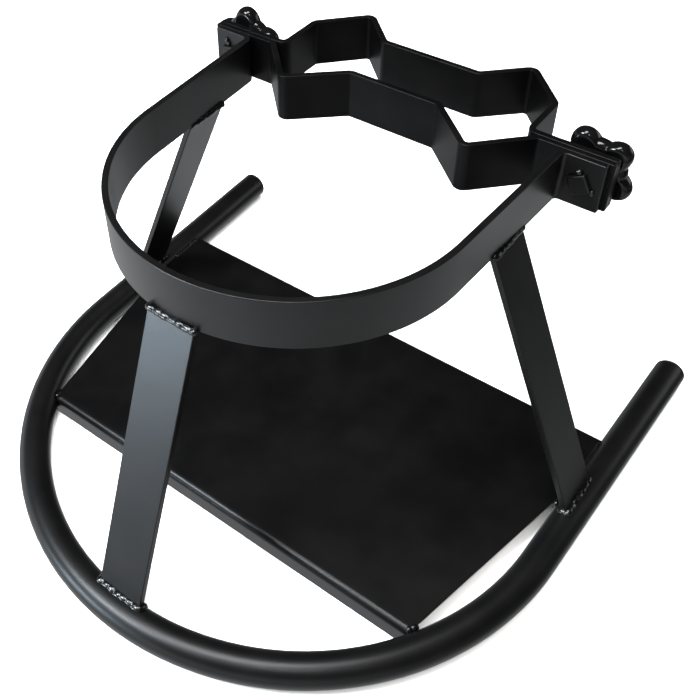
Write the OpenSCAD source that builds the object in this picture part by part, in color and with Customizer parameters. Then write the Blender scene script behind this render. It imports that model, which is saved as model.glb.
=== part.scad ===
// Drum cradle: a U-shaped pipe base with a plate, three leaning uprights,
// a flat-bar band and two V-notched clamp straps held by bolts and star knobs.
// Millimetres. Z is up and the floor is at Z = 0. +X points to the right ear.
// The closed front faces -Y and the open rear faces +Y.
// Lengths along Y are measured from the centre of the base pipe's bend.

/* [Base pipe] */

// radius of the bent front, on the pipe's centreline
base_r = 292; // [280:1:320]
// outside radius of the pipe
pipe_r = 16.7; // [16:0.1:17.5]
// wall thickness of the pipe
pipe_wall = 3.4; // [2:0.1:5]
// outward flare of each leg, degrees
pipe_flare = 1.63; // [1:0.01:3]
// rear end of the legs
leg_end_y = 302; // [250:1:340]
// thickness of the end discs
cap_t = 3.2; // [2.5:0.1:6]
// rounding of the end discs' rims
cap_round = 2.2; // [0.5:0.1:2.4]

/* [Plate] */

// height of the plate's upper face above the floor
plate_top = 25.4; // [24:0.1:26.5]
// thickness of the plate
plate_t = 3.2; // [2:0.1:4]
// front face of the folded edge
plate_front_y = -151; // [-160:1:-145]
// rear edge of the plate
plate_rear_y = 156; // [150:1:180]
// half width at the front edge
plate_front_hw = 232.8; // [231:0.1:234]
// half width at the rear edge, before coping to the pipe
plate_rear_hw = 294.8; // [290:0.1:296]
// inside radius of the front bend
plate_bend_r = 4; // [2:0.5:6]
// lower edge of the folded front
flange_low = 1.4; // [1:0.1:4]

/* [Flat bar] */

// thickness of every flat bar
bar_t = 6.35; // [6:0.05:6.6]
// width of every flat bar
bar_w = 50.8; // [45:0.1:60]
// bend radius of the bars, on the middle of their thickness
bend_r = 7; // [5:0.5:9]

/* [Band] */

// radius of the round front, on the bar's middle
band_r = 168.1; // [167:0.1:169]
// centre of the round front
band_cy = -1; // [-2:0.1:0]
// outward flare of the band's legs, degrees
band_flare = 2.67; // [2:0.01:3]
// lower edge of the band and of both straps
band_low = 307.5; // [300:0.5:320]
// middle of the band's ears, along Y
band_ear_y = 153.575; // [150:0.005:158]
// end of the band's ears, along X
band_ear_x = 218.5; // [214:0.5:222]

/* [Uprights] */

// distance of the front upright's foot from the bend centre
front_foot = 280.5; // [279:0.1:282]
// distance of the front upright's top from the bend centre
front_top = 170.6; // [169:0.1:172]
// distance of each side upright's foot from the middle plane
side_foot = 289.6; // [289:0.1:291]
// distance of each side upright's top from the middle plane
side_top = 171.8; // [171:0.1:173]
// middle of the side uprights, along Y
side_y = 71; // [65:1:77]

/* [Straps] */

// end of both straps' ears, along X
strap_ear_x = 223.5; // [220:0.5:228]
// bend where the near strap leaves its ear
near_shoulder_x = 149.5; // [147:0.5:152]
// outer bend of the near strap's V, along X
near_v_x = 101.9; // [98:0.1:105]
// outer bend of the near strap's V, along Y
near_v_y = 110.8; // [105:0.1:115]
// inner bend of the near strap's V, along X
near_tip_x = 49.6; // [45:0.1:54]
// straight middle of the near strap, along Y
near_tip_y = 156.5; // [150:0.1:160]
// bend where the far strap leaves its ear
far_shoulder_x = 138.4; // [134:0.1:142]
// bend between the far strap's straight side and its V
far_side_y = 219.1; // [212:0.1:226]
// outer bend of the far strap's V, along X
far_v_x = 94.6; // [90:0.1:99]
// outer bend of the far strap's V, along Y
far_v_y = 264.7; // [258:0.1:272]
// inner bend of the far strap's V, along X
far_tip_x = 54.6; // [50:0.1:59]
// straight middle of the far strap, along Y
far_tip_y = 226.1; // [220:0.1:232]

/* [Bolts and washers] */

// distance of each bolt from the middle plane
bolt_x = 198; // [192:0.5:202]
// radius of the bolt's shank
bolt_r = 6.35; // [6:0.05:6.5]
// radius of the holes in the ears and washers
hole_r = 6.9; // [6.7:0.05:7.5]
// free end of the bolts, along Y
bolt_tip_y = 197; // [195:0.5:210]
// width of the square bolt heads across the flats
head_w = 18.5; // [16:0.5:20]
// height of the bolt heads
head_t = 4.5; // [4:0.5:8]
// turn of the left bolt head, degrees
head_left_turn = 10; // [0:1:45]
// turn of the right bolt head, degrees
head_right_turn = 28; // [0:1:45]
// outside radius of the washers
washer_r = 15.9; // [13:0.1:18]
// thickness of the washers
washer_t = 2.1; // [1.5:0.1:3]

/* [Knobs] */

// reach of the lobes from the knob's axis
knob_r = 40.4; // [38:0.1:43]
// radius of each lobe
lobe_r = 12.3; // [10:0.1:14]
// radius of the hub between the lobes
hub_r = 30.6; // [26:0.1:33]
// thickness of the knobs
knob_t = 16; // [14:0.5:20]
// rounding of the knobs' rims
knob_round = 7; // [3:0.5:7]
// front face of the knobs, along Y
knob_front_y = 173.2; // [172:0.1:175]
// radius of the threaded inserts
insert_r = 10.5; // [9:0.1:13]
// length of the threaded inserts
insert_t = 21.2; // [18:0.1:26]
// radial running clearance of the inserts on the bolts
clear = 0.05; // [0.03:0.01:0.2]
// turn of the left knob's lobes, degrees
knob_left_turn = 22; // [0:1:71]
// turn of the right knob's lobes, degrees
knob_right_turn = 46; // [0:1:71]

/* [Weld beads] */

// radius of the beads outside the uprights' feet
foot_bead_r = 4.2; // [3.5:0.1:5]
// radius of the beads inside the uprights' feet
inner_bead_r = 3.6; // [3:0.1:4]
// half length of the beads at the feet, to their end centres
foot_bead_x = 23; // [18:0.5:24]
// radius of the bead outside the front upright's top
front_top_bead_r = 3.4; // [2.5:0.1:4]
// radius of the beads at the other tops
top_bead_r = 2.4; // [2:0.1:3]
// half length of the beads at the tops, to their end centres
top_bead_x = 22; // [18:0.5:24]
// radius of the beads between the plate and the pipe
plate_bead_r = 3; // [2.6:0.1:3.4]
// radius of the tack welds on the bolt heads
tack_r = 3.2; // [2.5:0.1:4]

/* [Hidden] */

// every sub-part, in the order they are drawn
// which sub-part to draw

// moves the bend centre so that the origin lies under the middle of the whole box
shift_y = 3.14;
// facets of round shapes, and of the large bend
$fn = 96;
bend_fn = 256;
// arc steps of the band's round front and of every tight bend
band_steps = 120;
bend_steps = 8;
// overrun of cutting shapes, and the gap that keeps touching solids apart
cut = 1;
gap = 0.01;
// thin ring inside the pipe's wall that ties each leg to the bend
tie_inset = 0.4;
tie_len = 2;
// how far down the uprights are drawn before they are coped to the pipe
cope_low = 18;
// reach of the bolt shank into its head
shank_root = 1;
// number of lobes on a knob
lobes = 5;

// derived places
leg_len = (leg_end_y + base_r * sin(pipe_flare)) / cos(pipe_flare);
band_z = band_low + bar_w / 2;
head_y = band_ear_y - bar_t / 2;
ear_back = band_ear_y + bar_t / 2;
near_y = ear_back + bar_t / 2;
far_y = near_y + bar_t;
stack_y = far_y + bar_t / 2;
fold_r = plate_bend_r + plate_t;
knob_mid = knob_r - lobe_r;

// colours
coat = [0.09, 0.09, 0.1];
steel = [0.16, 0.16, 0.17];
plastic = [0.03, 0.03, 0.035];

// Bead places: [distance from the bend centre or middle plane, height].
front_foot_out = [front_foot + 5.5, 32.2];
front_foot_in = [front_foot - 1.9, 28.4];
side_foot_out = [side_foot + 4.4, 33.4];
side_foot_in = [side_foot - 3.4, 32.4];
front_top_out = [front_top + 3, band_low - 0.3];
front_top_in = [front_top - 4.2, band_low - 0.9];
side_top_out = [side_top + 3.8, band_low - 0.5];
side_top_in = [side_top - 3.4, band_low - 0.9];
// the band's legs flare, so the side beads slant by this much over half their length
top_slant = 1;
// plate beads in plan: [start, end], on the line where the plate meets the pipe
bead_z = plate_top - 0.8;
corner_bead = [[232, -147], [235.5, -141]];
side_bead_a = [[277.8, 56], [279.4, 76]];
side_bead_b = [[280.9, 112], [282, 150]];
// tack welds on the bolt heads: offsets from the bolt's axis, along X and Z
tack_depth = 1.2;
left_tacks = [[[-6, 15], [-3.4, 11.4]], [[9, -8], [11, -7]]];
right_tacks = [[[-3.2, 11.8], [-1.6, 12.4]], [[12.2, -6], [12.6, -4.6]]];

// ---- bent bars ----

// One edge of a bent bar: path p, offset to its left by off,
// with corner i rounded to radius r[i] in n[i] steps.
function edge(p, r, n, off) = let (
    last = len(p) - 1,
    d = [for (i = [0 : last - 1]) (p[i + 1] - p[i]) / norm(p[i + 1] - p[i])],
    left = [for (v = d) [-v[1], v[0]]]
  ) [
    p[0] + off * left[0],
    for (i = [1 : last - 1]) let (
        turn = atan2(d[i - 1][0] * d[i][1] - d[i - 1][1] * d[i][0], d[i - 1] * d[i]),
        s = sign(turn),
        centre = p[i] - d[i - 1] * r[i] * tan(abs(turn) / 2) + s * r[i] * left[i - 1],
        from = atan2(-s * left[i - 1][1], -s * left[i - 1][0])
      )
      for (k = [0 : n[i]])
        let (a = from + turn * k / n[i])
          centre + (r[i] - s * off) * [cos(a), sin(a)],
    p[last] + off * left[last - 1]
  ];

function reversed(v) = [for (i = [len(v) - 1 : -1 : 0]) v[i]];

// Both halves of a symmetric path, given its right half from the ear inward.
function mirrored(v) = concat([for (q = v) [-q[0], q[1]]], reversed(v));

// Flat bar on edge along path p, at the height of the band.
module bent_bar(p, r, n) {
  translate([0, 0, band_low])
    linear_extrude(bar_w)
      polygon(concat(edge(p, r, n, bar_t / 2), reversed(edge(p, r, n, -bar_t / 2))));
}

// ---- placing ----

module home() {
  translate([0, shift_y, 0])
    children();
}

// Mirrors the right-hand shape to the left when s is negative.
module on_side(s) {
  mirror([s < 0 ? 1 : 0, 0, 0])
    children();
}

// Z runs along the right leg's axis, from the end of the bend to the rear.
module leg_frame() {
  translate([base_r * cos(pipe_flare), -base_r * sin(pipe_flare), 0])
    rotate([-90, 0, -pipe_flare])
      children();
}

module at_ear(s) {
  translate([s * bolt_x, 0, band_z])
    children();
}

// Cylinder of radius r along +Y, from y0.
module ycyl(r, y0, h) {
  translate([0, y0, 0])
    rotate([-90, 0, 0])
      cylinder(r = r, h = h);
}

// Holes for both bolts, through everything between y0 and y0 + h.
module ear_holes(y0, h) {
  for (s = [-1, 1])
    at_ear(s)
      ycyl(hole_r, y0, h);
}

// Rounded weld bead of radius r from a to b.
module bead(a, b, r) {
  v = b - a;
  l = norm(v);
  translate(a)
    rotate([0, acos(v[2] / l), atan2(v[1], v[0])])
      rotate_extrude(convexity = 4)
        intersection() {
          union() {
            circle(r);
            translate([0, l])
              circle(r);
            square([r, l]);
          }
          translate([0, -2 * r])
            square([2 * r, l + 4 * r]);
        }
}

// ---- base ----

module bend_sweep() {
  rotate([0, 0, 180 + pipe_flare])
    rotate_extrude(angle = 180 - 2 * pipe_flare, $fn = bend_fn)
      translate([base_r, 0])
        children();
}

// The pipe as a solid bar, for coping the pieces that meet it.
module pipe_solid() {
  translate([0, 0, pipe_r]) {
    bend_sweep()
      circle(pipe_r, $fn = 96);
    for (s = [-1, 1])
      on_side(s)
        leg_frame()
          cylinder(r = pipe_r, h = leg_len - cap_t);
  }
}

module base_tube() {
  color(coat)
    home()
      translate([0, 0, pipe_r]) {
        bend_sweep()
          difference() {
            circle(pipe_r, $fn = 96);
            circle(pipe_r - pipe_wall, $fn = 96);
          }
        for (s = [-1, 1])
          on_side(s)
            leg_frame() {
              translate([0, 0, gap])
                difference() {
                  cylinder(r = pipe_r, h = leg_len - cap_t - gap);
                  translate([0, 0, -cut])
                    cylinder(r = pipe_r - pipe_wall, h = leg_len + 2 * cut);
                }
              translate([0, 0, -tie_len / 2])
                difference() {
                  cylinder(r = pipe_r - tie_inset, h = tie_len);
                  translate([0, 0, -cut])
                    cylinder(r = pipe_r - pipe_wall + tie_inset, h = tie_len + 2 * cut);
                }
            }
      }
}

// Disc that closes a leg, with a rounded rim.
module end_cap(s) {
  color(coat)
    home()
      on_side(s)
        translate([0, 0, pipe_r])
          leg_frame()
            translate([0, 0, leg_len - cap_t])
              rotate_extrude()
                intersection() {
                  union() {
                    square([pipe_r - cap_round, cap_t]);
                    square([pipe_r, cap_t - cap_round]);
                    translate([pipe_r - cap_round, cap_t - cap_round])
                      circle(cap_round);
                  }
                  square([pipe_r, cap_t]);
                }
}

module tube_end_cap_left() {
  end_cap(-1);
}

module tube_end_cap_right() {
  end_cap(1);
}

// Sheet with its front edge folded down, before it is coped to the pipe.
module folded_sheet() {
  slope = (plate_rear_hw - plate_front_hw) / (plate_rear_y - plate_front_y);
  fold_hw = plate_front_hw + slope * fold_r;
  fold_y = plate_front_y + fold_r;
  translate([0, 0, plate_top - plate_t])
    linear_extrude(plate_t)
      polygon([
        [-fold_hw, fold_y],
        [fold_hw, fold_y],
        [plate_rear_hw, plate_rear_y],
        [-plate_rear_hw, plate_rear_y]
      ]);
  translate([-plate_front_hw, 0, 0])
    rotate([90, 0, 90])
      linear_extrude(2 * plate_front_hw) {
        translate([fold_y, plate_top - fold_r])
          intersection() {
            difference() {
              circle(fold_r);
              circle(plate_bend_r);
            }
            translate([-fold_r - cut, 0])
              square([fold_r + cut, fold_r + cut]);
          }
        translate([plate_front_y, flange_low])
          square([plate_t, plate_top - fold_r - flange_low]);
      }
}

module base_plate() {
  color(coat)
    home()
      difference() {
        folded_sheet();
        pipe_solid();
        for (s = [-1, 1]) {
          corner_bead_at(s);
          side_beads_at(s);
        }
      }
}

// ---- uprights ----

// Leaning bar: foot is its distance at the pipe's crest, top its distance at the band's lower edge.
module leaning(foot, top) {
  lean = (foot - top) / (band_low - 2 * pipe_r);
  half = bar_t / 2 * sqrt(1 + lean * lean);
  low = foot + lean * (2 * pipe_r - cope_low);
  translate([0, bar_w / 2, 0])
    rotate([90, 0, 0])
      linear_extrude(bar_w)
        polygon([
          [low - half, cope_low],
          [low + half, cope_low],
          [top + half, band_low],
          [top - half, band_low]
        ]);
}

module front_bar() {
  rotate([0, 0, -90])
    leaning(front_foot, front_top);
}

module side_bar(s) {
  on_side(s)
    translate([0, side_y, 0])
      leaning(side_foot, side_top);
}

module front_upright() {
  color(coat)
    home()
      difference() {
        front_bar();
        pipe_solid();
      }
}

module side_upright(s) {
  color(coat)
    home()
      difference() {
        side_bar(s);
        pipe_solid();
      }
}

module left_upright() {
  side_upright(-1);
}

module right_upright() {
  side_upright(1);
}

// ---- band ----

// Round front, two flared legs and an ear at each end.
module band_bar() {
  // the lines of the two legs meet far in front of the band
  meet_y = band_cy - band_r / sin(band_flare);
  leg_x = (band_ear_y - meet_y) * tan(band_flare);
  path = mirrored([[band_ear_x, band_ear_y], [leg_x, band_ear_y]]);
  ends = [path[0], path[1], [0, meet_y], path[2], path[3]];
  difference() {
    bent_bar(
      ends,
      [0, bend_r, band_r, bend_r, 0],
      [0, bend_steps, band_steps, bend_steps, 0]
    );
    ear_holes(head_y - cut, bar_t + 2 * cut);
  }
}

module band() {
  color(coat)
    home()
      band_bar();
}

// ---- weld beads ----

// Bead across a bar that faces -Y; place is [distance, height].
module front_bead(place, half, r) {
  bead([-half, -place[0], place[1]], [half, -place[0], place[1]], r);
}

// Bead across a bar that faces +X, slanted by slant at each end.
module side_bead(place, half, r, slant) {
  bead(
    [place[0] - slant, side_y - half, place[1]],
    [place[0] + slant, side_y + half, place[1]],
    r
  );
}

module weld_front_foot() {
  color(coat)
    home()
      difference() {
        union() {
          front_bead(front_foot_out, foot_bead_x, foot_bead_r);
          front_bead(front_foot_in, foot_bead_x, inner_bead_r);
        }
        front_bar();
        pipe_solid();
      }
}

module side_foot_weld(s) {
  color(coat)
    home()
      difference() {
        on_side(s) {
          side_bead(side_foot_out, foot_bead_x, foot_bead_r, 0);
          side_bead(side_foot_in, foot_bead_x, inner_bead_r, 0);
        }
        side_bar(s);
        pipe_solid();
      }
}

module weld_left_foot() {
  side_foot_weld(-1);
}

module weld_right_foot() {
  side_foot_weld(1);
}

module weld_front_top() {
  color(coat)
    home()
      difference() {
        union() {
          front_bead(front_top_out, top_bead_x, front_top_bead_r);
          front_bead(front_top_in, top_bead_x, top_bead_r);
        }
        front_bar();
        band_bar();
      }
}

// These beads bite into the bars they join.
module side_top_weld(s) {
  color(coat)
    home()
      on_side(s) {
        side_bead(side_top_out, top_bead_x, top_bead_r, top_slant);
        side_bead(side_top_in, top_bead_x, top_bead_r, top_slant);
      }
}

module weld_left_top() {
  side_top_weld(-1);
}

module weld_right_top() {
  side_top_weld(1);
}

// Level bead on the right-hand side along a plan line [start, end].
module level_bead(line) {
  bead(
    [line[0][0], line[0][1], bead_z],
    [line[1][0], line[1][1], bead_z],
    plate_bead_r
  );
}

module corner_bead_at(s) {
  on_side(s)
    level_bead(corner_bead);
}

module side_beads_at(s) {
  on_side(s) {
    level_bead(side_bead_a);
    level_bead(side_bead_b);
  }
}

module weld_plate_corner_left() {
  color(coat)
    home()
      corner_bead_at(-1);
}

module weld_plate_corner_right() {
  color(coat)
    home()
      corner_bead_at(1);
}

module weld_plate_side_left() {
  color(coat)
    home()
      side_beads_at(-1);
}

module weld_plate_side_right() {
  color(coat)
    home()
      side_beads_at(1);
}

// ---- clamp ----

// Bolt with a low square head against the band's ear.
module clamp_bolt(s, turn) {
  color(coat)
    home()
      at_ear(s) {
        translate([0, head_y, 0])
          rotate([90, -turn, 0])
            translate([-head_w / 2, -head_w / 2, 0])
              cube([head_w, head_w, head_t]);
        ycyl(bolt_r, head_y - shank_root, bolt_tip_y - head_y + shank_root);
      }
}

module clamp_bolt_left() {
  clamp_bolt(-1, head_left_turn);
}

module clamp_bolt_right() {
  clamp_bolt(1, head_right_turn);
}

// Tack welds that hold a bolt head to the ear; they bite into both.
module tacks(s, places) {
  color(coat)
    home()
      at_ear(s)
        for (t = places)
          bead(
            [t[0][0], head_y - tack_depth, t[0][1]],
            [t[1][0], head_y - tack_depth, t[1][1]],
            tack_r
          );
}

module bolt_tack_left() {
  tacks(-1, left_tacks);
}

module bolt_tack_right() {
  tacks(1, right_tacks);
}

// Strap along the mirrored path of its right half, with a hole in each ear.
module strap(half) {
  path = mirrored(half);
  color(coat)
    home()
      difference() {
        bent_bar(path, [for (q = path) bend_r], [for (q = path) bend_steps]);
        ear_holes(ear_back - cut, 2 * bar_t + 2 * cut);
      }
}

module near_strap() {
  strap([
    [strap_ear_x, near_y],
    [near_shoulder_x, near_y],
    [near_v_x, near_v_y],
    [near_tip_x, near_tip_y]
  ]);
}

module far_strap() {
  strap([
    [strap_ear_x, far_y],
    [far_shoulder_x, far_y],
    [far_shoulder_x, far_side_y],
    [far_v_x, far_v_y],
    [far_tip_x, far_tip_y]
  ]);
}

module washer(s) {
  color(steel)
    home()
      at_ear(s)
        difference() {
          ycyl(washer_r, stack_y, washer_t);
          ycyl(hole_r, stack_y - cut, washer_t + 2 * cut);
        }
}

module washer_left() {
  washer(-1);
}

module washer_right() {
  washer(1);
}

// Outline of a star knob.
module star(turn) {
  circle(hub_r);
  for (k = [0 : lobes - 1])
    rotate(turn + 360 / lobes * k)
      translate([knob_mid, 0])
        circle(lobe_r);
}

// Half section of a disc with a rounded rim.
module rounded_half() {
  square([knob_r - knob_round, knob_t]);
  translate([0, knob_round])
    square([knob_r, knob_t - 2 * knob_round]);
  for (z = [knob_round, knob_t - knob_round])
    translate([knob_r - knob_round, z])
      circle(knob_round);
}

module knob(s, turn) {
  color(plastic)
    home()
      at_ear(s)
        difference() {
          intersection() {
            translate([0, knob_front_y + knob_t, 0])
              rotate([90, 0, 0])
                linear_extrude(knob_t)
                  star(turn);
            translate([0, knob_front_y, 0])
              rotate([-90, 0, 0])
                rotate_extrude()
                  rounded_half();
          }
          ycyl(insert_r, knob_front_y - cut, knob_t + 2 * cut);
        }
}

module knob_left() {
  knob(-1, knob_left_turn);
}

module knob_right() {
  knob(1, knob_right_turn);
}

// Sleeve that runs on the bolt and is moulded into the knob.
module insert(s) {
  color(steel)
    home()
      at_ear(s)
        difference() {
          ycyl(insert_r, stack_y + washer_t, insert_t);
          ycyl(bolt_r + clear, stack_y, insert_t + washer_t + cut);
        }
}

module knob_insert_left() {
  insert(-1);
}

module knob_insert_right() {
  insert(1);
}

// ---- drawing ----

base_tube();
tube_end_cap_left();
tube_end_cap_right();
base_plate();
front_upright();
left_upright();
right_upright();
band();
weld_front_foot();
weld_left_foot();
weld_right_foot();
weld_front_top();
weld_left_top();
weld_right_top();
weld_plate_corner_left();
weld_plate_corner_right();
weld_plate_side_left();
weld_plate_side_right();
clamp_bolt_left();
clamp_bolt_right();
bolt_tack_left();
bolt_tack_right();
near_strap();
far_strap();
washer_left();
washer_right();
knob_left();
knob_right();
knob_insert_left();
knob_insert_right();
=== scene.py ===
import math

import bpy
from mathutils import Matrix, Vector, noise


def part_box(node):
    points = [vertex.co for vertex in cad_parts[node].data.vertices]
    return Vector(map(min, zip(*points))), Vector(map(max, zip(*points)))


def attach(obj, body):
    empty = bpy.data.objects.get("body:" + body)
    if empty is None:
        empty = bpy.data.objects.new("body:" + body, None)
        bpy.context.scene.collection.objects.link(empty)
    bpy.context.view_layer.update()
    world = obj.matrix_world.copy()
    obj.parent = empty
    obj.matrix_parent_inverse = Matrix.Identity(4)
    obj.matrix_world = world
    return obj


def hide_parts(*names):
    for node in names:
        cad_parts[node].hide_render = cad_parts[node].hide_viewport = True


# ------------------------------------------------------------------ frame

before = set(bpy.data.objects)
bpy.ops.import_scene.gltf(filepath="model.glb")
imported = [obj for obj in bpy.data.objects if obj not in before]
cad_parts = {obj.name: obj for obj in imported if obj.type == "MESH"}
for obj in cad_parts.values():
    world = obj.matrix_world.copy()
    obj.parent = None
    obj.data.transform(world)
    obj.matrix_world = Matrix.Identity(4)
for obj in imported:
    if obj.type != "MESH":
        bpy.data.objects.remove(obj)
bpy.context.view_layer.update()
MM = 0.001

# Driving sizes of the object, in metres, as in the design.
BAR_T = 6.35 * MM
BAR_W = 50.8 * MM
BEND_R = 7 * MM
EDGE_R = 0.9 * MM
CORNER_R = 2.4 * MM
BASE_R = 292 * MM
PIPE_FLARE = math.radians(1.63)
BAND_R = 168.1 * MM
BAND_FLARE = math.radians(2.67)
PLATE_T = 3.2 * MM
PLATE_BEND = 4 * MM
THREAD_PITCH = 1.954 * MM
KNOB_R = 40.4 * MM
LOBE_R = 12.3 * MM
HUB_R = 30.6 * MM
LOBE_BLEND = 7.6 * MM
LOBES = 5
KNOB_FILLET = 7.4 * MM
BOSS_R = 15.5 * MM
HOLE_R = 6.9 * MM
HEAD_W = 18.5 * MM
PLATE_FRONT_HALF = 232.8 * MM
PLATE_REAR_HALF = 294.8 * MM
TACK_R = 2.6 * MM
FOOT_BEAD_R = 4.3 * MM
TOP_BEAD_R = 3.5 * MM
PLATE_BEAD_R = 3.2 * MM
BEAD_POINTS = 14


def low(node):
    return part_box(node)[0]


def high(node):
    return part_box(node)[1]


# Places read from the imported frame.
PIPE_R = (high("base_tube").z - low("base_tube").z) / 2
BEND_Y = low("base_tube").y + BASE_R + PIPE_R
LEG_END_Y = high("base_tube").y - PIPE_R * math.sin(PIPE_FLARE)
BAND_LOW = low("band").z
BAND_HIGH = high("band").z
BAND_CY = low("band").y + BAND_R + BAR_T / 2
EAR_Y = high("band").y - BAR_T / 2
EAR_X = high("band").x
NEAR_Y = EAR_Y + BAR_T
FAR_Y = NEAR_Y + BAR_T
STRAP_X = high("near_strap").x
BOLT_X = (low("clamp_bolt_right").x + high("clamp_bolt_right").x) / 2
BOLT_Z = (low("clamp_bolt_right").z + high("clamp_bolt_right").z) / 2
BOLT_TIP = high("clamp_bolt_right").y
HEAD_Y = low("clamp_bolt_right").y
PLATE_TOP = high("base_plate").z
PLATE_FRONT = low("base_plate").y
PLATE_REAR = high("base_plate").y
PLATE_LOW = low("base_plate").z


# ------------------------------------------------------------------ camera

def add_camera():
    data = bpy.data.cameras.new("camera")
    data.sensor_width = 36.0
    data.lens = 50.22
    data.shift_x = 0.144
    data.shift_y = -0.113
    cam = bpy.data.objects.new("camera", data)
    bpy.context.scene.collection.objects.link(cam)
    azimuth, elevation, roll = (math.radians(a) for a in (40.586, 42.382, -3.085))
    back = Vector((math.sin(azimuth) * math.cos(elevation),
                   -math.cos(azimuth) * math.cos(elevation),
                   math.sin(elevation)))
    right = Vector((0, 0, 1)).cross(back).normalized()
    up = back.cross(right)
    right_rolled = right * math.cos(roll) + up * math.sin(roll)
    up_rolled = up * math.cos(roll) - right * math.sin(roll)
    rotation = Matrix((right_rolled, up_rolled, back)).transposed()
    cam.matrix_world = rotation.to_4x4()
    cam.location = Vector((0.4150, BEND_Y - 0.5568, 0.8686))
    data.clip_start = 0.05
    data.clip_end = 50
    bpy.context.scene.camera = cam


# ------------------------------------------------------------------ mesh tools

def link_mesh(name, vertices, faces, material, smooth_angle=35):
    mesh = bpy.data.meshes.new(name)
    mesh.from_pydata([tuple(v) for v in vertices], [], faces)
    mesh.validate()
    mesh.update()
    mesh.polygons.foreach_set("use_smooth", [True] * len(mesh.polygons))
    mesh.set_sharp_from_angle(angle=math.radians(smooth_angle))
    obj = bpy.data.objects.new(name, mesh)
    bpy.context.scene.collection.objects.link(obj)
    obj.data.materials.append(material)
    return obj


def loft(rings, closed=False):
    """Vertices and faces of a skin through rings that all have the same number of points."""
    count = len(rings[0])
    vertices = [p for ring in rings for p in ring]
    faces = []
    spans = len(rings) if closed else len(rings) - 1
    for i in range(spans):
        a = i * count
        b = ((i + 1) % len(rings)) * count
        for k in range(count):
            n = (k + 1) % count
            faces.append((a + k, a + n, b + n, b + k))
    if not closed:
        faces.append(tuple(reversed(range(count))))
        faces.append(tuple(range((len(rings) - 1) * count, len(rings) * count)))
    return vertices, faces


def weighted_normals(obj):
    modifier = obj.modifiers.new("normals", "WEIGHTED_NORMAL")
    modifier.keep_sharp = True
    modifier.weight = 80


def rounded_rect(width, height, radius, steps=3, columns=1):
    """Outline of a rectangle with round corners, counter-clockwise, its long edges cut into columns."""
    points = []
    corners = [(1, -1, -90), (1, 1, 0), (-1, 1, 90), (-1, -1, 180)]
    for i, (sx, sy, start) in enumerate(corners):
        cx = sx * (width / 2 - radius)
        cy = sy * (height / 2 - radius)
        for k in range(steps + 1):
            a = math.radians(start + 90 * k / steps)
            points.append((cx + radius * math.cos(a), cy + radius * math.sin(a)))
        if i in (1, 3) and columns > 1:
            x0 = sx * (width / 2 - radius)
            for k in range(1, columns):
                points.append((x0 * (1 - 2 * k / columns), sy * height / 2))
    return points


def corner_path(points, radii, steps, span=0.012):
    """Centreline through points with round corners, as (point, left normal), its straights cut into spans."""
    stations = []

    def straight(a, b, normal, ends):
        parts = max(1, round((b - a).length / span))
        first = 0 if ends else 1
        for k in range(first, parts + 1):
            stations.append((a.lerp(b, k / parts), normal))

    start = points[0]
    for i in range(1, len(points)):
        before = (points[i] - points[i - 1]).normalized()
        left = Vector((-before.y, before.x))
        if i == len(points) - 1:
            straight(start, points[i], left, i == 1)
            break
        after = (points[i + 1] - points[i]).normalized()
        turn = math.atan2(before.x * after.y - before.y * after.x, before.dot(after))
        side = math.copysign(1, turn)
        cut = radii[i] * math.tan(abs(turn) / 2)
        enter = points[i] - before * cut
        straight(start, enter, left, i == 1)
        centre = enter + left * side * radii[i]
        angle = math.atan2(enter.y - centre.y, enter.x - centre.x)
        for k in range(1, steps[i] + 1):
            a = angle + turn * k / steps[i]
            out = Vector((math.cos(a), math.sin(a)))
            stations.append((centre + out * radii[i], out * -side))
        start = points[i] + after * cut
    return stations


def bar_mesh(name, stations, material, z_low, z_high):
    """Flat bar on edge: a rounded section carried along a plan path, with rounded ends."""
    middle = (z_low + z_high) / 2

    def ring(station, thin, short):
        point, normal = station
        radius = EDGE_R - 0.7 * min(thin, EDGE_R)
        section = rounded_rect(BAR_T - 2 * thin, z_high - z_low - 2 * short, radius, 3)
        return [Vector((point.x + normal.x * u, point.y + normal.y * u, middle + v)) for u, v in section]

    def end(station, toward):
        point, normal = station
        rings = []
        for a in (0, 15, 30, 50, 70, 90):
            along = CORNER_R * (1 - math.cos(math.radians(a)))
            short = CORNER_R * (1 - math.sin(math.radians(a)))
            thin = EDGE_R - math.sqrt(max(0, EDGE_R ** 2 - max(0, EDGE_R - along) ** 2))
            rings.append(ring((point + toward * along, normal), min(thin, 0.7 * EDGE_R), short))
        return rings

    ahead = (stations[1][0] - stations[0][0]).normalized()
    behind = (stations[-2][0] - stations[-1][0]).normalized()
    rings = end(stations[0], ahead)
    rings += [ring(s, 0, 0) for s in stations[1:-1]]
    rings += reversed(end(stations[-1], behind))
    vertices, faces = loft(rings)
    return link_mesh(name, vertices, faces, material)


def lathe(name, profile, material, origin, segments=48):
    """Ring-shaped piece about +Y: profile is a closed list of (radius, y)."""
    rings = []
    for k in range(segments):
        a = 2 * math.pi * k / segments
        rings.append([Vector((origin.x + r * math.cos(a), origin.y + y, origin.z - r * math.sin(a)))
                      for r, y in profile])
    vertices, faces = loft(rings, closed=True)
    return link_mesh(name, vertices, faces, material, 50)


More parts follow.
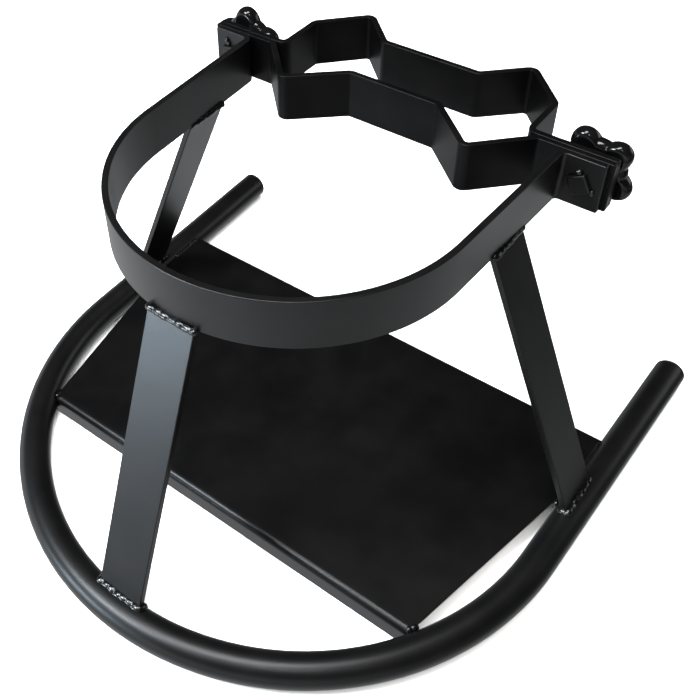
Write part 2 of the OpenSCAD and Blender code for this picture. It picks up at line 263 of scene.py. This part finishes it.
def drill(obj, x, z, y_from, y_to, radius):
    """Cuts a round hole along Y and applies it."""
    segments = 48
    angles = [2 * math.pi * k / segments for k in range(segments)]
    rings = [[Vector((x + radius * math.cos(a), y, z + radius * math.sin(a))) for a in angles]
             for y in (y_from, y_to)]
    vertices, faces = loft(rings)
    tool = link_mesh("tool", vertices, faces, obj.data.materials[0])
    modifier = obj.modifiers.new("hole", "BOOLEAN")
    modifier.operation = "DIFFERENCE"
    modifier.solver = "EXACT"
    modifier.object = tool
    graph = bpy.context.evaluated_depsgraph_get()
    result = bpy.data.meshes.new_from_object(obj.evaluated_get(graph))
    obj.modifiers.clear()
    obj.data = result
    bpy.data.objects.remove(tool)
    obj.data.set_sharp_from_angle(angle=math.radians(35))


def publish(obj, body, slot, *nodes):
    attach(obj, body)
    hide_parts(*nodes)
    return obj


# ------------------------------------------------------------------ materials

def new_material(name):
    material = bpy.data.materials.new(name)
    material.use_nodes = True
    nodes = material.node_tree.nodes
    shader = next(n for n in nodes if n.type == "BSDF_PRINCIPLED")
    return material, nodes, material.node_tree.links, shader


def noise_node(nodes, links, coords, scale, detail=3.0):
    node = nodes.new("ShaderNodeTexNoise")
    node.inputs["Scale"].default_value = scale
    node.inputs["Detail"].default_value = detail
    links.new(coords.outputs["Object"], node.inputs["Vector"])
    return node


def ramp_node(nodes, links, source, stops):
    node = nodes.new("ShaderNodeValToRGB")
    links.new(source, node.inputs["Fac"])
    elements = node.color_ramp.elements
    for element, (position, colour) in zip(elements, stops):
        element.position = position
        element.color = colour
    return node


def range_node(nodes, links, source, lowest, highest):
    node = nodes.new("ShaderNodeMapRange")
    node.inputs["To Min"].default_value = lowest
    node.inputs["To Max"].default_value = highest
    links.new(source, node.inputs["Value"])
    return node


def bump_node(nodes, links, source, strength, distance, below=None):
    node = nodes.new("ShaderNodeBump")
    node.inputs["Strength"].default_value = strength
    node.inputs["Distance"].default_value = distance
    links.new(source, node.inputs["Height"])
    if below is not None:
        links.new(below.outputs["Normal"], node.inputs["Normal"])
    return node


def powder_coat(name="powder_coat", rough=(0.33, 0.41), shine=0.3, dark=(0.0010, 0.0010, 0.0011, 1),
                light=(0.0022, 0.0021, 0.0021, 1)):
    """Satin black powder coat: fine orange peel, a soft wave and faint mottling."""
    material, nodes, links, shader = new_material(name)
    coords = nodes.new("ShaderNodeTexCoord")
    mottle = noise_node(nodes, links, coords, 26, 5)
    colour = ramp_node(nodes, links, mottle.outputs["Fac"], [(0.35, dark), (0.68, light)])
    links.new(colour.outputs["Color"], shader.inputs["Base Color"])
    streak = noise_node(nodes, links, coords, 11, 2)
    gloss = range_node(nodes, links, streak.outputs["Fac"], *rough)
    links.new(gloss.outputs["Result"], shader.inputs["Roughness"])
    peel = noise_node(nodes, links, coords, 420, 2)
    grain = noise_node(nodes, links, coords, 1500, 2)
    wave = noise_node(nodes, links, coords, 14, 1)
    first = bump_node(nodes, links, wave.outputs["Fac"], 0.35, 0.0008)
    second = bump_node(nodes, links, peel.outputs["Fac"], 0.22, 0.00022, first)
    third = bump_node(nodes, links, grain.outputs["Fac"], 0.14, 0.0001, second)
    links.new(third.outputs["Normal"], shader.inputs["Normal"])
    shader.inputs["Specular IOR Level"].default_value = shine
    return material


def weld_coat():
    """The same coat where it has flowed over a weld: glossier."""
    return powder_coat("weld_coat", (0.20, 0.28), 0.5)


def shaded_strap_coat():
    """The same coat on the straps with less shine: a darker copy of the coat, painted shade on the straps'
    faces.
    """
    return powder_coat("shaded_strap_coat", (0.33, 0.41), 0.10)


def shaded_plate_coat():
    """The same coat on the plate with a little less shine: a darker copy of the coat, painted shade on the
    plate.
    """
    return powder_coat("shaded_plate_coat", (0.31, 0.38), 0.2)


def knob_plastic():
    """Glossy moulded black plastic with faint flow marks."""
    material, nodes, links, shader = new_material("knob_plastic")
    coords = nodes.new("ShaderNodeTexCoord")
    mottle = noise_node(nodes, links, coords, 60, 4)
    colour = ramp_node(nodes, links, mottle.outputs["Fac"],
                       [(0.3, (0.0014, 0.0014, 0.0014, 1)), (0.75, (0.003, 0.003, 0.003, 1))])
    links.new(colour.outputs["Color"], shader.inputs["Base Color"])
    flow = noise_node(nodes, links, coords, 35, 3)
    gloss = range_node(nodes, links, flow.outputs["Fac"], 0.07, 0.16)
    links.new(gloss.outputs["Result"], shader.inputs["Roughness"])
    ripple = noise_node(nodes, links, coords, 90, 2)
    bump = bump_node(nodes, links, ripple.outputs["Fac"], 0.05, 0.00008)
    links.new(bump.outputs["Normal"], shader.inputs["Normal"])
    shader.inputs["Specular IOR Level"].default_value = 0.22
    return material


def dark_steel():
    """Black-oxide steel of threads, washers and inserts, rubbed a little brighter in places."""
    material, nodes, links, shader = new_material("dark_steel")
    coords = nodes.new("ShaderNodeTexCoord")
    rub = noise_node(nodes, links, coords, 160, 5)
    colour = ramp_node(nodes, links, rub.outputs["Fac"],
                       [(0.38, (0.028, 0.028, 0.03, 1)), (0.72, (0.13, 0.13, 0.135, 1))])
    links.new(colour.outputs["Color"], shader.inputs["Base Color"])
    gloss = range_node(nodes, links, rub.outputs["Fac"], 0.48, 0.3)
    links.new(gloss.outputs["Result"], shader.inputs["Roughness"])
    shader.inputs["Metallic"].default_value = 0.85
    fine = noise_node(nodes, links, coords, 1200, 2)
    bump = bump_node(nodes, links, fine.outputs["Fac"], 0.1, 0.0001)
    links.new(bump.outputs["Normal"], shader.inputs["Normal"])
    return material


# ------------------------------------------------------------------ base pipe

def pipe_stations():
    """Centreline of the U as (point, direction), from the left leg's end round to the right one's."""
    tangent_x = BASE_R * math.cos(PIPE_FLARE)
    tangent_y = BEND_Y - BASE_R * math.sin(PIPE_FLARE)
    out = Vector((math.sin(PIPE_FLARE), math.cos(PIPE_FLARE), 0))
    length = (LEG_END_Y - tangent_y) / math.cos(PIPE_FLARE)
    stations = []
    spans = 14
    for k in range(spans):
        p = Vector((-tangent_x, tangent_y, PIPE_R)) + Vector((-out.x, out.y, 0)) * length * (1 - k / spans)
        stations.append((p, Vector((out.x, -out.y, 0))))
    steps = 150
    for k in range(steps + 1):
        a = math.pi + PIPE_FLARE + (math.pi - 2 * PIPE_FLARE) * k / steps
        p = Vector((BASE_R * math.cos(a), BEND_Y + BASE_R * math.sin(a), PIPE_R))
        stations.append((p, Vector((-math.sin(a), math.cos(a), 0))))
    for k in range(1, spans + 1):
        p = Vector((tangent_x, tangent_y, PIPE_R)) + out * length * k / spans
        stations.append((p, out.copy()))
    return stations


def pipe_ring(station, radius, segments=56):
    point, direction = station
    side = direction.cross(Vector((0, 0, 1)))
    return [point + side * radius * math.cos(2 * math.pi * k / segments)
            + Vector((0, 0, 1)) * radius * math.sin(2 * math.pi * k / segments) for k in range(segments)]


def make_base_tube(material):
    rings = [pipe_ring(s, PIPE_R) for s in pipe_stations()]
    vertices, faces = loft(rings)
    obj = link_mesh("base_tube_look", vertices, faces, material)
    return publish(obj, "frame", "powder_coat", "base_tube")


def make_end_cap(side, material):
    """Disc that closes a leg: a fine weld ring, a rounded rim and a slightly domed face."""
    stations = pipe_stations()
    point, direction = stations[-1]
    profile = [(0.0, PIPE_R * 0.985), (0.3, PIPE_R * 0.955), (0.6, PIPE_R * 0.985), (1.0, PIPE_R)]
    profile += [(1.0 + 2.2 * math.sin(math.radians(a)), PIPE_R - 2.2 * MM * (1 - math.cos(math.radians(a))))
                for a in (15, 30, 45, 60, 75)]
    profile += [(3.14, PIPE_R * 0.75), (3.19, PIPE_R * 0.35)]
    rings = [pipe_ring((point + direction * d * MM, direction), r) for d, r in profile]
    if side < 0:
        rings = [[Vector((-p.x, p.y, p.z)) for p in reversed(ring)] for ring in rings]
    vertices, faces = loft(rings)
    name = "left" if side < 0 else "right"
    obj = link_mesh("tube_end_cap_" + name + "_look", vertices, faces, material, 60)
    return publish(obj, "frame", "powder_coat", "tube_end_cap_" + name)


def pipe_offset(x, y):
    """Signed plan distance of a point from the pipe's centreline, positive outside the U."""
    tangent_y = BEND_Y - BASE_R * math.sin(PIPE_FLARE)
    if y < tangent_y:
        return math.hypot(x, y - BEND_Y) - BASE_R
    line_x = BASE_R * math.cos(PIPE_FLARE) + (y - tangent_y) * math.tan(PIPE_FLARE)
    return (abs(x) - line_x) * math.cos(PIPE_FLARE)


def pipe_height(x, y):
    """Height of the pipe's upper surface over a point."""
    d = min(abs(pipe_offset(x, y)), PIPE_R)
    return PIPE_R + math.sqrt(PIPE_R * PIPE_R - d * d)


# ------------------------------------------------------------------ plate

def plate_half_width(y, z):
    """Half width of the plate where it reaches its slanted side or the pipe, whichever is nearer."""
    along = (y - PLATE_FRONT) / (PLATE_REAR - PLATE_FRONT)
    side = PLATE_FRONT_HALF + (PLATE_REAR_HALF - PLATE_FRONT_HALF) * along
    reach = math.sqrt(max(0, PIPE_R ** 2 - (z - PIPE_R) ** 2))
    tangent_y = BEND_Y - BASE_R * math.sin(PIPE_FLARE)
    if y < tangent_y:
        inner = BASE_R - reach
        limit = math.sqrt(inner ** 2 - (y - BEND_Y) ** 2)
    else:
        line_x = BASE_R * math.cos(PIPE_FLARE) + (y - tangent_y) * math.tan(PIPE_FLARE)
        limit = line_x - reach / math.cos(PIPE_FLARE)
    return min(side, limit + 0.3 * MM)


def make_plate(material):
    """Sheet with its front edge folded down over a soft bend that waves a little along its length."""
    radius = PLATE_BEND + PLATE_T / 2
    bend_y = PLATE_FRONT + PLATE_T + PLATE_BEND
    bend_z = PLATE_TOP - PLATE_T - PLATE_BEND
    stations = []
    for k in range(5):
        stations.append((PLATE_FRONT + PLATE_T / 2, PLATE_LOW + (bend_z - PLATE_LOW) * k / 5, -1, 0))
    for k in range(13):
        a = math.radians(180 - 90 * k / 12)
        ny, nz = math.cos(a), math.sin(a)
        stations.append((bend_y + radius * ny, bend_z + radius * nz, ny, nz))
    flat = PLATE_REAR - bend_y
    for k in range(1, 61):
        stations.append((bend_y + flat * k / 60, PLATE_TOP - PLATE_T / 2, 0, 1))
    rings = []
    columns = 40
    last = len(stations) - 1
    for i, (y, z, ny, nz) in enumerate(stations):
        half = plate_half_width(y, z)
        insets = [0]
        if i in (0, last):
            insets = [0.6 * MM, 0.2 * MM, 0]
        if i == last:
            insets.reverse()
        for inset in insets:
            section = rounded_rect(2 * half, PLATE_T - 2 * inset, 0.8 * MM - inset, 3, columns)
            ring = []
            for u, v in section:
                wave = noise.noise(Vector((u * 9, y * 14, 3.7))) * 0.45 * MM
                ring.append(Vector((u, y + ny * (v + wave), z + nz * (v + wave))))
            rings.append(ring)
    vertices, faces = loft(rings)
    obj = link_mesh("base_plate_look", vertices, faces, material)
    weighted_normals(obj)
    return publish(obj, "frame", "powder_coat", "base_plate")


# ------------------------------------------------------------------ uprights

def upright_frames():
    """Each upright as (name, outward direction, place along its side, foot distance, top distance)."""
    front_foot, front_top = 280.5 * MM, 170.6 * MM
    side_foot, side_top = 289.6 * MM, 171.8 * MM
    side_y = BEND_Y + 71 * MM
    return [
        ("front_upright", Vector((0, -1, 0)), Vector((0, BEND_Y, 0)), front_foot, front_top),
        ("left_upright", Vector((-1, 0, 0)), Vector((0, side_y, 0)), side_foot, side_top),
        ("right_upright", Vector((1, 0, 0)), Vector((0, side_y, 0)), side_foot, side_top),
    ]


def upright_section(out, origin, foot, top, grow=0.0, columns=10):
    """Plan outline of the bar at a height, as a function of that height."""
    lean = (foot - top) / (BAND_LOW - 2 * PIPE_R)
    thick = BAR_T * math.sqrt(1 + lean * lean)
    across = Vector((-out.y, out.x, 0))
    outline = rounded_rect(BAR_W + 2 * grow, thick + 2 * grow, EDGE_R + grow, 3, columns)

    def at(z_of):
        points = []
        for u, v in outline:
            z = z_of if not callable(z_of) else BAND_LOW / 2
            for _ in range(12 if callable(z_of) else 1):
                distance = foot - lean * (z - 2 * PIPE_R) + v
                p = origin + out * distance + across * u
                if callable(z_of):
                    z = z_of(p.x, p.y)
            points.append(Vector((p.x, p.y, z)))
        return points

    return at


def make_uprights(material):
    for name, out, origin, foot, top in upright_frames():
        at = upright_section(out, origin, foot, top)
        seat = at(lambda x, y: pipe_height(x, y) - 0.6 * MM)
        rings = [seat]
        start = 36 * MM
        for k in range(25):
            z = start + (BAND_LOW - start) * k / 24
            rings.append(at(z))
        vertices, faces = loft(rings)
        obj = link_mesh(name + "_look", vertices, faces, material)
        weighted_normals(obj)
        publish(obj, "frame", "powder_coat", name)


# ------------------------------------------------------------------ band and straps

def make_band(material):
    meet_y = BAND_CY - BAND_R / math.sin(BAND_FLARE)
    ex = (EAR_Y - meet_y) * math.tan(BAND_FLARE)
    corners = ((-EAR_X, EAR_Y), (-ex, EAR_Y), (0, meet_y), (ex, EAR_Y), (EAR_X, EAR_Y))
    points = [Vector(corner) for corner in corners]
    stations = corner_path(points, [0, BEND_R, BAND_R, BEND_R, 0], [0, 10, 130, 10, 0])
    obj = bar_mesh("band_look", stations, material, BAND_LOW, BAND_HIGH)
    for side in (-1, 1):
        drill(obj, side * BOLT_X, BOLT_Z, EAR_Y - 10 * MM, EAR_Y + 10 * MM, HOLE_R)
    weighted_normals(obj)
    publish(obj, "frame", "powder_coat", "band")


def make_strap(name, half, ear_y, material):
    """half is the right half of the strap's sharp corners, from the ear inward."""
    right = [Vector((x, y)) for x, y in half]
    points = [Vector((-p.x, p.y)) for p in right] + list(reversed(right))
    radii = [BEND_R] * len(points)
    steps = [10] * len(points)
    stations = corner_path(points, radii, steps)
    obj = bar_mesh(name + "_look", stations, material, BAND_LOW, BAND_HIGH)
    for side in (-1, 1):
        drill(obj, side * BOLT_X, BOLT_Z, ear_y - 10 * MM, ear_y + 10 * MM, HOLE_R)
    weighted_normals(obj)
    publish(obj, name, "powder_coat", name)


def make_straps(material):
    y0 = BEND_Y
    near = [(STRAP_X, NEAR_Y), (149.5 * MM, NEAR_Y),
            (101.9 * MM, y0 + 110.8 * MM), (49.6 * MM, y0 + 156.5 * MM)]
    far = [(STRAP_X, FAR_Y), (138.4 * MM, FAR_Y), (138.4 * MM, y0 + 219.1 * MM),
           (94.6 * MM, y0 + 264.7 * MM), (54.6 * MM, y0 + 226.1 * MM)]
    make_strap("near_strap", near, NEAR_Y, material)
    make_strap("far_strap", far, FAR_Y, material)


# ------------------------------------------------------------------ weld beads

def bead_rings(path, radius, pitch, seed, closed):
    """Rings of a lumpy bead: overlapping puddles along a path of points, domed at open ends."""
    rings = []
    travelled = 0.0
    count = len(path)
    total = sum((b - a).length for a, b in zip(path, path[1:]))
    for i, point in enumerate(path):
        ahead = path[(i + 1) % count] if closed or i + 1 < count else path[i]
        behind = path[i - 1] if closed or i > 0 else path[i]
        direction = (ahead - behind).normalized()
        if i:
            travelled += (point - path[i - 1]).length
        side = direction.cross(Vector((0, 0, 1)))
        if side.length <= 0.05:
            side = Vector((0, 1, 0)).cross(direction)
        side.normalize()
        up = side.cross(direction)
        puddle = abs(math.sin(math.pi * travelled / pitch)) ** 0.6
        taper = 1.0
        if not closed:
            margin = max(0.0, min(travelled, total - travelled)) / radius
            taper = max(0.08, math.sqrt(1 - (1 - min(margin, 1)) ** 2))
        ring = []
        for k in range(BEAD_POINTS):
            a = 2 * math.pi * k / BEAD_POINTS
            lump = noise.noise(Vector((travelled * 120, math.cos(a) * 1.2 + seed, math.sin(a) * 1.2)))
            swell = noise.noise(Vector((travelled * 70, seed * 1.7, 0.3)))
            r = radius * taper * (0.80 + 0.16 * puddle + 0.20 * lump + 0.26 * swell)
            ring.append(point + side * r * math.cos(a) + up * r * math.sin(a))
        rings.append(ring)
    return rings


def stretched(path, radius):
    """Open path made longer at both ends, so that the bead's domes reach as far as they should."""
    first = (path[0] - path[1]).normalized() * radius
    last = (path[-1] - path[-2]).normalized() * radius
    return [path[0] + first] + path + [path[-1] + last]


def resample(points, spacing, closed):
    """Points at an even spacing along a path."""
    pairs = list(zip(points, points[1:] + ([points[0]] if closed else [])))
    if not closed:
        pairs = pairs[:len(points) - 1]
    result = []
    for a, b in pairs:
        parts = max(1, round((b - a).length / spacing))
        result += [a.lerp(b, k / parts) for k in range(parts)]
    if not closed:
        result.append(points[-1])
    return result


def make_bead(name, paths, radius, material, seed, closed=False, pitch=4.2 * MM):
    vertices = []
    faces = []
    for number, path in enumerate(paths):
        line = path if closed else stretched(path, radius * 0.9)
        rings = bead_rings(resample(line, 0.6 * MM, closed), radius, pitch, seed + number * 7.3, closed)
        more, skin = loft(rings, closed=closed)
        faces += [tuple(i + len(vertices) for i in f) for f in skin]
        vertices += more
    obj = link_mesh(name + "_look", vertices, faces, material, 180)
    return publish(obj, "frame", "powder_coat", name)


def make_upright_welds(material):
    for number, (name, out, origin, foot, top) in enumerate(upright_frames()):
        side = name.split("_")[0]
        around = upright_section(out, origin, foot, top, grow=0.2 * MM, columns=8)
        seat = [p + Vector((0, 0, 0.2 * MM)) for p in around(lambda x, y: pipe_height(x, y))]
        make_bead("weld_" + side + "_foot", [seat], FOOT_BEAD_R, material, 3.1 + number, True, 7.5 * MM)
        inside = upright_section(out, origin, foot, top, grow=-0.7 * MM, columns=8)
        crown = [p + Vector((0, 0, 0.5 * MM)) for p in inside(BAND_LOW)]
        make_bead("weld_" + side + "_top", [crown], TOP_BEAD_R, material, 11.7 + number, True, 8 * MM)


def make_plate_welds(material):
    """Beads in the corner between the plate's edge and the pipe."""
    lines = (("weld_plate_corner_", (((232, -147), (235.5, -141)),)),
             ("weld_plate_side_", (((277.8, 56), (279.4, 76)), ((280.9, 112), (282, 150)))))
    z = PLATE_TOP - 0.6 * MM
    for side, name in ((-1, "left"), (1, "right")):
        for number, (prefix, segments) in enumerate(lines):
            paths = [[Vector((side * x * MM, BEND_Y + y * MM, z)) for x, y in segment]
                     for segment in segments]
            seed = 21 + 5 * number + side
            make_bead(prefix + name, paths, PLATE_BEAD_R, material, seed, pitch=5 * MM)


# ------------------------------------------------------------------ bolts, washers, knobs

def bolt_head(x, turn):
    """Low square head, turned about its axis, with a chamfered face and softened edges."""
    rings = []
    face = EAR_Y - BAR_T / 2
    c, s = math.cos(turn), math.sin(turn)
    for y, inset in ((face, 0.3), (face - 0.4 * MM, 0.0), (HEAD_Y + 1.3 * MM, 0.0), (HEAD_Y + 0.7 * MM, 0.25),
                     (HEAD_Y + 0.2 * MM, 0.9), (HEAD_Y, 1.9)):
        w = HEAD_W - 2 * inset * MM
        rings.append([Vector((x + u * c - v * s, y, BOLT_Z + u * s + v * c))
                      for u, v in rounded_rect(w, w, (1.3 + inset) * MM, 4, 1)])
    return loft(rings)


def threaded_shank(x, segments=36):
    """Shank with a 1/2-13 thread from inside the band's ear to a chamfered tip."""
    start = EAR_Y - BAR_T / 2 - 1 * MM
    step = THREAD_PITCH / 8
    depth = 1.05 * MM
    radius = 6.32 * MM
    count = int((BOLT_TIP - start) / step)
    rings = []
    for i in range(count + 1):
        y = start + (BOLT_TIP - start) * i / count
        chamfer = max(0.0, 1.6 * MM - (BOLT_TIP - y))
        ring = []
        for k in range(segments):
            a = 2 * math.pi * k / segments
            phase = ((y - start) / THREAD_PITCH - k / segments) % 1.0
            cut = depth * (1 - abs(2 * phase - 1)) * min(1.0, max(0.0, (y - start - 9 * MM) / (2 * MM)))
            r = min(radius - cut, radius - chamfer)
            ring.append(Vector((x + r * math.cos(a), y, BOLT_Z - r * math.sin(a))))
        rings.append(ring)
    return loft(rings)


def make_bolts(coat, welds, steel):
    places = ((-1, "left", 10, (((-6.2, 15.2), (-3.2, 11.2)), ((9, -8), (11, -7)))),
              (1, "right", 28, (((-4.0, 11.4), (-1.2, 12.8)), ((12.4, -6.6), (12.8, -4.2)))))
    for side, name, turn, tacks in places:
        x = side * BOLT_X
        vertices, faces = bolt_head(x, math.radians(turn))
        head = link_mesh("bolt_head_" + name + "_look", vertices, faces, coat, 50)
        weighted_normals(head)
        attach(head, "frame")
        vertices, faces = threaded_shank(x)
        shank = link_mesh("bolt_shank_" + name + "_look", vertices, faces, steel, 40)
        publish(shank, "frame", "dark_steel", "clamp_bolt_" + name)
        face = EAR_Y - BAR_T / 2 - 1.2 * MM
        paths = [[Vector((x + u * MM, face, BOLT_Z + v * MM)) for u, v in tack] for tack in tacks]
        make_bead("bolt_tack_" + name, paths, TACK_R, welds, 41 + side, pitch=6 * MM)


def make_washers(steel):
    for side, name in ((-1, "left"), (1, "right")):
        lo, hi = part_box("washer_" + name)
        r_out = (hi.z - lo.z) / 2
        r_in = HOLE_R
        t = hi.y - lo.y
        c = 0.35 * MM
        profile = [(r_in, c), (r_in + c, 0), (r_out - c, 0), (r_out, c), (r_out, t - c * 1.4),
                   (r_out - c * 1.6, t), (r_in + c, t), (r_in, t - c)]
        obj = lathe("washer_" + name + "_look", profile, steel, Vector((side * BOLT_X, lo.y, BOLT_Z)), 56)
        publish(obj, "washer_" + name, "dark_steel", "washer_" + name)


def lobe_radius(angle, turn):
    """Distance of the star outline from its axis: round lobes blended into a hub."""
    centre = KNOB_R - LOBE_R
    pitch = 2 * math.pi / LOBES
    a = (angle - turn + pitch / 2) % pitch - pitch / 2
    reach = 0.0
    if abs(centre * math.sin(a)) < LOBE_R:
        reach = centre * math.cos(a) + math.sqrt(LOBE_R ** 2 - (centre * math.sin(a)) ** 2)
    h = max(0.0, min(1.0, 0.5 + 0.5 * (reach - HUB_R) / LOBE_BLEND))
    return HUB_R * (1 - h) + reach * h + LOBE_BLEND * h * (1 - h)


def make_knob(side, name, turn_deg, plastic, steel):
    """Five-lobe star knob: full rounded rim, dished faces, a raised boss round a metal insert."""
    body = "knob_" + name
    lo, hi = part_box(body)
    x = side * BOLT_X
    y0, y1 = lo.y, hi.y
    thick = y1 - y0
    turn = math.radians(turn_deg)
    segments = 240
    fillet = KNOB_FILLET
    insert_r = 10.5 * MM
    lo_i, hi_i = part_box("knob_insert_" + name)

    def star(y, inset, share=1.0, core=0.0):
        """Outline pulled in by inset, mixed with a circle of radius core."""
        points = []
        for k in range(segments):
            a = 2 * math.pi * k / segments
            r = core + (lobe_radius(a, turn) - inset - core) * share
            points.append(Vector((x + r * math.cos(a), y, BOLT_Z + r * math.sin(a))))
        return points

    boss = BOSS_R
    rings = [star(y0 + 0.9 * MM, 0, 0, insert_r), star(y0 + 0.2 * MM, 0, 0, insert_r + 0.7 * MM),
             star(y0, 0, 0, insert_r + 1.4 * MM), star(y0, 0, 0, boss - 0.8 * MM),
             star(y0 + 0.4 * MM, 0, 0, boss), star(y0 + 1.3 * MM, 0, 0.05, boss + 0.6 * MM),
             star(y0 + 1.3 * MM, fillet, 0.5, boss), star(y0 + 0.7 * MM, fillet, 0.85, boss),
             star(y0 + 0.1 * MM, fillet, 1.0, boss)]
    for k in range(1, 10):
        a = math.radians(10 * k)
        rings.append(star(y0 + fillet * (1 - math.cos(a)), fillet * (1 - math.sin(a))))
    rings.append(star(y0 + thick / 2, 0))
    for k in range(9):
        a = math.radians(10 * k)
        rings.append(star(y1 - fillet * (1 - math.sin(a)), fillet * (1 - math.cos(a))))
    rings += [star(y1 - 0.1 * MM, fillet, 1.0, boss), star(y1 - 0.8 * MM, fillet, 0.85, boss),
              star(y1 - 1.6 * MM, fillet, 0.5, boss), star(y1 - 1.6 * MM, 0, 0.05, boss + 1.2 * MM),
              star(y1 - 0.5 * MM, 0, 0, boss + 0.3 * MM), star(y1, 0, 0, boss - 0.6 * MM),
              star(y1, 0, 0, insert_r + 1.2 * MM), star(y1 - 0.8 * MM, 0, 0, insert_r)]
    vertices, faces = loft(rings, closed=True)
    obj = link_mesh(body + "_look", vertices, [tuple(reversed(f)) for f in faces], plastic, 70)
    publish(obj, body, "knob_plastic", body)
    t = hi_i.y - lo_i.y
    r_in = 6.42 * MM
    c = 0.8 * MM
    profile = [(r_in, c), (r_in + c, 0), (insert_r - 0.5 * MM, 0), (insert_r, 0.5 * MM),
               (insert_r, t - 0.7 * MM), (insert_r - 0.7 * MM, t), (r_in + c * 1.4, t), (r_in, t - c * 1.2)]
    insert = lathe("knob_insert_" + name + "_look", profile, steel, Vector((x, lo_i.y, BOLT_Z)), 56)
    publish(insert, body, "dark_steel", "knob_insert_" + name)


# ------------------------------------------------------------------ stage

def add_area(name, location, target, size, energy, colour=(1, 1, 1), in_gloss=True):
    data = bpy.data.lights.new(name, "AREA")
    data.shape = "RECTANGLE"
    data.size, data.size_y = size
    data.energy = energy
    data.color = colour
    light = bpy.data.objects.new(name, data)
    light.location = location
    light.visible_glossy = in_gloss
    light.rotation_euler = (Vector(target) - Vector(location)).to_track_quat("-Z", "Y").to_euler()
    bpy.context.scene.collection.objects.link(light)


def add_surroundings():
    """Dim room over a pale ground: bright below the object, and towards the front left up to the horizon."""
    world = bpy.data.worlds.new("studio")
    world.use_nodes = True
    nodes, links = world.node_tree.nodes, world.node_tree.links
    background = nodes["Background"]
    coords = nodes.new("ShaderNodeTexCoord")
    toward = nodes.new("ShaderNodeVectorMath")
    toward.operation = "DOT_PRODUCT"
    toward.inputs[1].default_value = (-0.55, -0.79, -0.26)
    links.new(coords.outputs["Generated"], toward.inputs[0])
    split = nodes.new("ShaderNodeSeparateXYZ")
    links.new(coords.outputs["Generated"], split.inputs["Vector"])

    def smooth(source, start, end, first, second):
        node = nodes.new("ShaderNodeMapRange")
        node.interpolation_type = "SMOOTHSTEP"
        node.inputs["From Min"].default_value = start
        node.inputs["From Max"].default_value = end
        node.inputs["To Min"].default_value = first
        node.inputs["To Max"].default_value = second
        links.new(source, node.inputs["Value"])
        return node.outputs["Result"]

    def combine(operation, a, b):
        node = nodes.new("ShaderNodeMath")
        node.operation = operation
        links.new(a, node.inputs[0])
        links.new(b, node.inputs[1])
        return node.outputs["Value"]

    side = smooth(toward.outputs["Value"], -0.75, 0.95, 0.10, 1.2)
    glow = smooth(split.outputs["Z"], -0.42, -0.14, 0.38, 1.5)
    near = smooth(split.outputs["Z"], -0.38, -0.56, 0.0, 1.0)
    below = combine("MULTIPLY", near, smooth(toward.outputs["Value"], 0.2, 0.95, 0.9, 1.5))
    room = smooth(split.outputs["Z"], -0.05, 0.25, 1.0, 0.05)
    ground = combine("MAXIMUM", combine("MULTIPLY", side, glow), below)
    links.new(combine("MULTIPLY", ground, room), background.inputs["Strength"])
    background.inputs["Color"].default_value = (0.95, 0.975, 1.0, 1)
    bpy.context.scene.world = world


def add_stage():
    size = 9.0
    mesh = bpy.data.meshes.new("floor")
    corners = [(-size, -size, 0), (size, -size, 0), (size, size, 0), (-size, size, 0)]
    mesh.from_pydata(corners, [], [(0, 1, 2, 3)])
    floor = bpy.data.objects.new("floor", mesh)
    bpy.context.scene.collection.objects.link(floor)
    material, nodes, links, shader = new_material("floor")
    shader.inputs["Base Color"].default_value = (0.87, 0.87, 0.87, 1)
    shader.inputs["Roughness"].default_value = 0.9
    shader.inputs["Specular IOR Level"].default_value = 0.1
    floor.data.materials.append(material)
    floor.visible_glossy = False
    add_surroundings()
    add_area("key", (-0.84, -1.28, 1.53), (0, -0.1, 0.1), (0.5, 0.4), 60, (0.85, 0.93, 1.0))
    add_area("strip", (-0.13, -0.50, 1.9), (0.03, -0.2, 0.0), (0.35, 1.1), 42, (0.96, 0.98, 1.0))
    add_area("panel", (-0.85, -1.5, 0.13), (0, -0.2, 0.25), (0.5, 0.24), 17, (0.70, 0.86, 1.0))
    add_area("sky", (0, 0.5, 6.0), (0, 0.5, 0), (10, 10), 1500, (1.0, 0.985, 0.96), False)
    add_area("lamp", (0.6, -1.0, 2.0), (0, 0, 0.3), (0.16, 0.16), 7)
    add_area("rear", (1.5, 2.3, 0.8), (0, 0, 0.2), (1.4, 1.0), 10)
    view = bpy.context.scene.view_settings
    view.view_transform = "Standard"
    view.exposure = 0.0


# ------------------------------------------------------------------ scene

add_camera()
coat = powder_coat()
welds = weld_coat()
steel = dark_steel()
plastic = knob_plastic()
make_base_tube(coat)
make_end_cap(-1, coat)
make_end_cap(1, coat)
make_plate(shaded_plate_coat())
make_uprights(coat)
make_band(coat)
make_straps(shaded_strap_coat())
make_upright_welds(welds)
make_plate_welds(welds)
make_bolts(coat, welds, steel)
make_washers(steel)
make_knob(-1, "left", 22, plastic, steel)
make_knob(1, "right", 46, plastic, steel)
add_stage()

bpy.context.view_layer.update()
